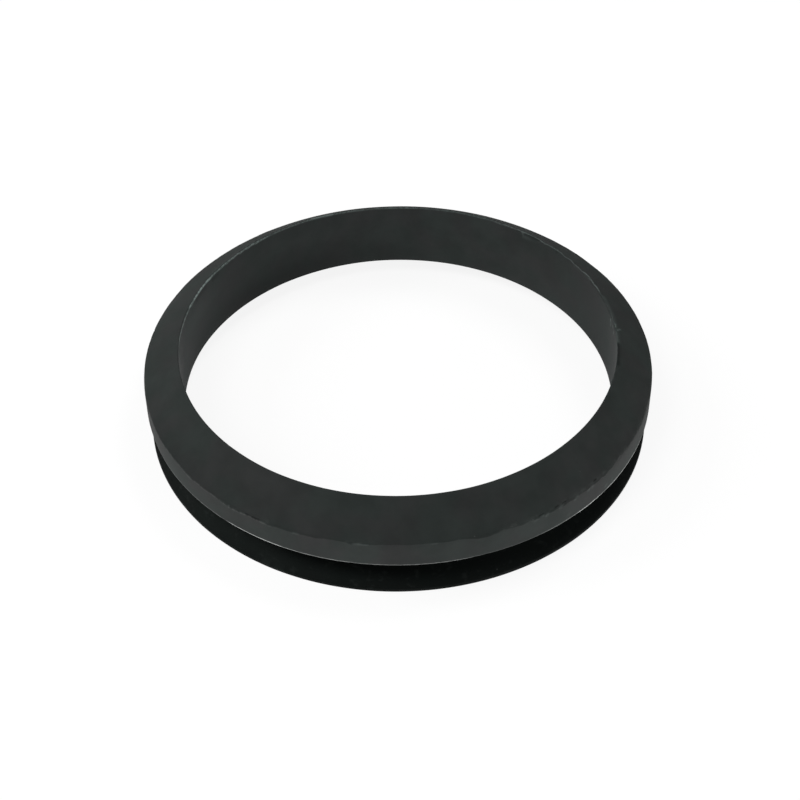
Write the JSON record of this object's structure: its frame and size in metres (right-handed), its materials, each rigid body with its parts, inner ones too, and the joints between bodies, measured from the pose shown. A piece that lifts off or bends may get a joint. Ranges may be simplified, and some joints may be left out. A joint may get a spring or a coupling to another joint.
{
  "type": "tie rod seal",
  "caption": "Stretch-fit rubber V-ring: body with a tapered back and a plain bore, a V groove, and a thin hinged lip that seals against a flat face.",
  "frame": {"origin": "centre of the bounding box's bottom: on the axis, level with the lip's sealing edge that the ring stands on", "axes": "+Z along the axis, from the lip towards the tapered back; X and Y are free, as the ring is round"},
  "size_m": [0.068, 0.068, 0.0124],
  "materials": {
    "nitrile_rubber": "black moulded nitrile rubber, satin to matt, with fine trimmed flash on its edges"
  },
  "bodies": {
    "root": {"seal_ring": "nitrile_rubber"}
  },
  "joints": []
}
